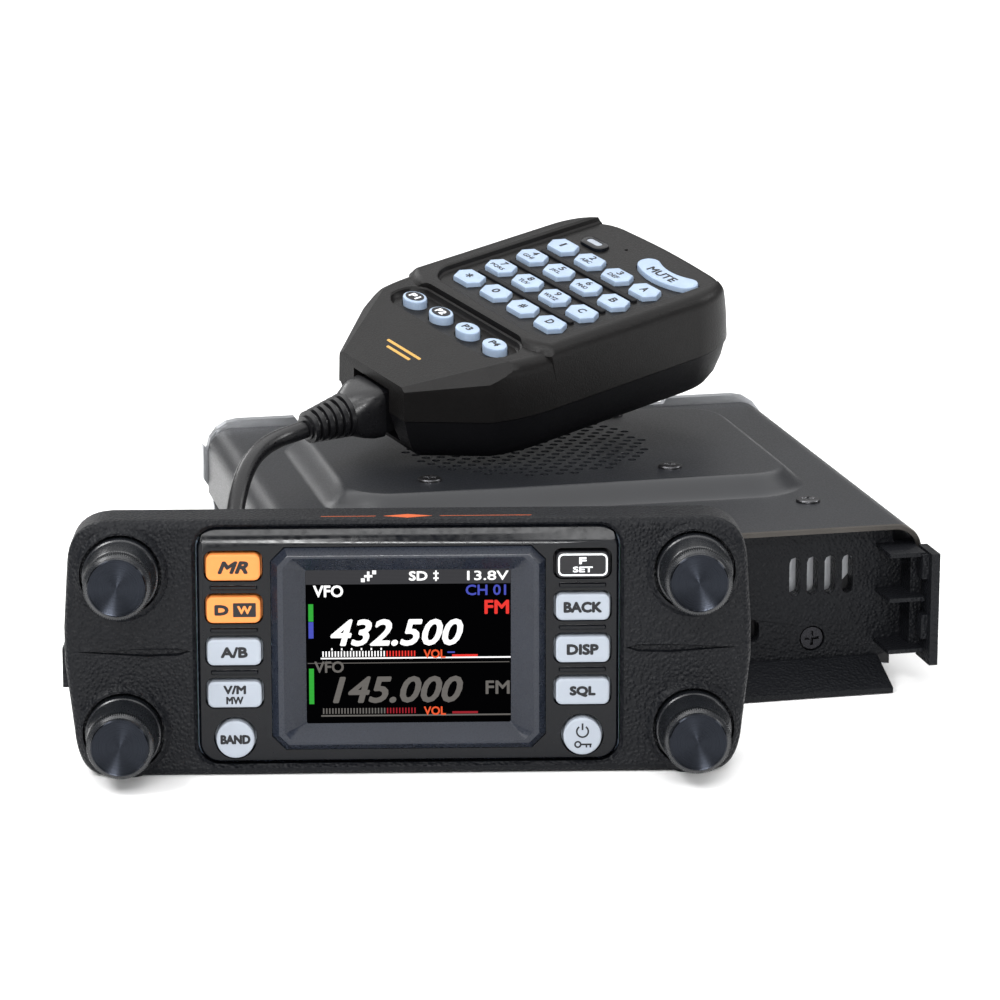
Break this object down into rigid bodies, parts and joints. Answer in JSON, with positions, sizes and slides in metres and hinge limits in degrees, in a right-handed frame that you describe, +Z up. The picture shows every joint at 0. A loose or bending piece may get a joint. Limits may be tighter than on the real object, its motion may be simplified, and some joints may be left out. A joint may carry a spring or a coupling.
{
  "type": "mobile radio transceiver with detachable control head and hand microphone",
  "caption": "Box-shaped mobile radio unit with a detachable control head in front of it and a keypad microphone lying on top, on a curly cord.",
  "frame": {"origin": "centre of the flat underside of the radio unit", "axes": "+X to the radio's right seen from its front, -Y out of its front, +Z up"},
  "size_m": [0.1915, 0.2025, 0.0837],
  "materials": {
    "painted_steel": "satin, fine texture",
    "cast_metal": "die-cast, dull",
    "black_plastic": "fine spark texture",
    "microphone_plastic": "fine leather-like texture",
    "bright_metal": "nickel plated",
    "bezel_plastic": "satin gloss, blue-grey",
    "clear_glass": "clear, polished",
    "display_panel": "lit colour display",
    "pale_key": "satin",
    "orange_key": "satin",
    "dark_key": "satin with a pale border",
    "silicone": "translucent, matt",
    "circuit_board": "solder mask",
    "rubber": "satin",
    "knob_metal": "turned, black anodised"
  },
  "bodies": {
    "radio_unit": {"top_cover": "painted_steel", "chassis": "cast_metal", "bottom_cover": "painted_steel", "rear_heatsink": "cast_metal", "antenna_socket": "bright_metal", "power_inlet": "black_plastic", "speaker_jacks": "black_plastic", "data_jack": "bright_metal", "fan_frame": "black_plastic", "front_panel": "black_plastic", "front_screw": "bright_metal", "mic_jack": "black_plastic", "link_jack": "black_plastic", "main_board": "circuit_board", "power_module": "black_plastic", "speaker_frame": "bright_metal", "speaker_cone": "rubber", "mic_cord_tail": "rubber", "curly_cord": "rubber", "plug_cord_tail": "rubber", "mic_plug": "black_plastic"},
    "fan": {"fan_rotor": "black_plastic"},
    "control_head": {"head_front_case": "black_plastic", "head_rear_case": "black_plastic", "display_bezel": "bezel_plastic", "display_window": "clear_glass", "display_panel": "display_panel", "key_mat": "silicone", "head_board": "circuit_board", "head_jack": "black_plastic", "card_cover": "rubber"},
    "microphone": {"mic_front_case": "microphone_plastic", "mic_back_case": "microphone_plastic", "mic_board": "circuit_board", "hanger_stud": "bright_metal", "mic_strain_relief": "rubber"},
    "upper_left_shaft": {"shaft_upper_left": "bright_metal"},
    "upper_left_knob": {"knob_upper_left": "knob_metal"},
    "lower_left_knob": {"knob_lower_left": "knob_metal"},
    "upper_right_shaft": {"shaft_upper_right": "bright_metal"},
    "upper_right_knob": {"knob_upper_right": "knob_metal"},
    "lower_right_knob": {"knob_lower_right": "knob_metal"},
    "memory_key": {"key_memory": "orange_key"},
    "watch_key": {"key_watch": "orange_key"},
    "swap_key": {"key_swap": "pale_key"},
    "mode_key": {"key_mode": "pale_key"},
    "band_key": {"key_band": "pale_key"},
    "setup_key": {"key_setup": "dark_key"},
    "back_key": {"key_back": "pale_key"},
    "display_key": {"key_display": "pale_key"},
    "squelch_key": {"key_squelch": "pale_key"},
    "power_key": {"key_power": "pale_key"},
    "number_row_1": {"key_row_1": "silicone"},
    "number_row_2": {"key_row_2": "silicone"},
    "number_row_3": {"key_row_3": "silicone"},
    "number_row_4": {"key_row_4": "silicone"},
    "program_key_strip": {"program_keys": "silicone"},
    "mute_button": {"mute_key": "silicone"},
    "talk_bar": {"ptt_bar": "rubber"}
  },
  "joints": [
    {"name": "fan_spin", "type": "hinge", "parent": "radio_unit", "child": "fan", "pos_m": [0.036, 0.054, 0.0192], "axis": [0, 1, 0], "continuous": true},
    {"name": "head_slide", "type": "slide", "parent": "radio_unit", "child": "control_head", "axis": [-0.1908, -0.9816, 0], "range_m": [0, 0.1]},
    {"name": "microphone_lift", "type": "slide", "parent": "radio_unit", "child": "microphone", "axis": [0, 0, 1], "range_m": [0, 0.06]},
    {"name": "upper_left_press", "type": "slide", "parent": "control_head", "child": "upper_left_shaft", "axis": [0.1905, 0.9798, -0.061], "range_m": [0, 0.0005], "stiffness_N_per_m": 900, "springref_m": -0.0006},
    {"name": "upper_left_turn", "type": "hinge", "parent": "upper_left_shaft", "child": "upper_left_knob", "pos_m": [-0.1103, -0.0894, 0.04223], "axis": [0.1905, 0.9798, -0.061], "continuous": true},
    {"name": "lower_left_turn", "type": "hinge", "parent": "control_head", "child": "lower_left_knob", "pos_m": [-0.11068, -0.09136, 0.00969], "axis": [0.1905, 0.9798, -0.061], "continuous": true},
    {"name": "upper_right_press", "type": "slide", "parent": "control_head", "child": "upper_right_shaft", "axis": [0.1905, 0.9798, -0.061], "range_m": [0, 0.0005], "stiffness_N_per_m": 900, "springref_m": -0.0006},
    {"name": "upper_right_turn", "type": "hinge", "parent": "upper_right_shaft", "child": "upper_right_knob", "pos_m": [0.00317, -0.11146, 0.04223], "axis": [0.1905, 0.9798, -0.061], "continuous": true},
    {"name": "lower_right_turn", "type": "hinge", "parent": "control_head", "child": "lower_right_knob", "pos_m": [0.0028, -0.11341, 0.00969], "axis": [0.1905, 0.9798, -0.061], "continuous": true},
    {"name": "memory_key_press", "type": "slide", "parent": "control_head", "child": "memory_key", "axis": [0.1905, 0.9798, -0.061], "range_m": [0, 0.0008], "stiffness_N_per_m": 700, "springref_m": -0.0004},
    {"name": "watch_key_press", "type": "slide", "parent": "control_head", "child": "watch_key", "axis": [0.1905, 0.9798, -0.061], "range_m": [0, 0.0008], "stiffness_N_per_m": 700, "springref_m": -0.0004},
    {"name": "swap_key_press", "type": "slide", "parent": "control_head", "child": "swap_key", "axis": [0.1905, 0.9798, -0.061], "range_m": [0, 0.0008], "stiffness_N_per_m": 700, "springref_m": -0.0004},
    {"name": "mode_key_press", "type": "slide", "parent": "control_head", "child": "mode_key", "axis": [0.1905, 0.9798, -0.061], "range_m": [0, 0.0008], "stiffness_N_per_m": 700, "springref_m": -0.0004},
    {"name": "band_key_press", "type": "slide", "parent": "control_head", "child": "band_key", "axis": [0.1905, 0.9798, -0.061], "range_m": [0, 0.0008], "stiffness_N_per_m": 700, "springref_m": -0.0004},
    {"name": "setup_key_press", "type": "slide", "parent": "control_head", "child": "setup_key", "axis": [0.1905, 0.9798, -0.061], "range_m": [0, 0.0008], "stiffness_N_per_m": 700, "springref_m": -0.0004},
    {"name": "back_key_press", "type": "slide", "parent": "control_head", "child": "back_key", "axis": [0.1905, 0.9798, -0.061], "range_m": [0, 0.0008], "stiffness_N_per_m": 700, "springref_m": -0.0004},
    {"name": "display_key_press", "type": "slide", "parent": "control_head", "child": "display_key", "axis": [0.1905, 0.9798, -0.061], "range_m": [0, 0.0008], "stiffness_N_per_m": 700, "springref_m": -0.0004},
    {"name": "squelch_key_press", "type": "slide", "parent": "control_head", "child": "squelch_key", "axis": [0.1905, 0.9798, -0.061], "range_m": [0, 0.0008], "stiffness_N_per_m": 700, "springref_m": -0.0004},
    {"name": "power_key_press", "type": "slide", "parent": "control_head", "child": "power_key", "axis": [0.1905, 0.9798, -0.061], "range_m": [0, 0.0008], "stiffness_N_per_m": 700, "springref_m": -0.0004},
    {"name": "number_row_1_press", "type": "slide", "parent": "microphone", "child": "number_row_1", "axis": [0.0693, 0.2374, -0.9689], "range_m": [0, 0.0008], "stiffness_N_per_m": 700, "springref_m": -0.0004},
    {"name": "number_row_2_press", "type": "slide", "parent": "microphone", "child": "number_row_2", "axis": [0.0693, 0.2374, -0.9689], "range_m": [0, 0.0008], "stiffness_N_per_m": 700, "springref_m": -0.0004},
    {"name": "number_row_3_press", "type": "slide", "parent": "microphone", "child": "number_row_3", "axis": [0.0693, 0.2374, -0.9689], "range_m": [0, 0.0008], "stiffness_N_per_m": 700, "springref_m": -0.0004},
    {"name": "number_row_4_press", "type": "slide", "parent": "microphone", "child": "number_row_4", "axis": [0.0693, 0.2374, -0.9689], "range_m": [0, 0.0008], "stiffness_N_per_m": 700, "springref_m": -0.0004},
    {"name": "program_keys_press", "type": "slide", "parent": "microphone", "child": "program_key_strip", "axis": [0.0693, 0.2374, -0.9689], "range_m": [0, 0.0008], "stiffness_N_per_m": 700, "springref_m": -0.0004},
    {"name": "mute_press", "type": "slide", "parent": "microphone", "child": "mute_button", "axis": [0.0693, 0.2374, -0.9689], "range_m": [0, 0.0008], "stiffness_N_per_m": 700, "springref_m": -0.0004},
    {"name": "talk_press", "type": "slide", "parent": "microphone", "child": "talk_bar", "axis": [0.4052, -0.8942, -0.1901], "range_m": [0, 0.0012], "stiffness_N_per_m": 1500, "springref_m": -0.0006}
  ]
}
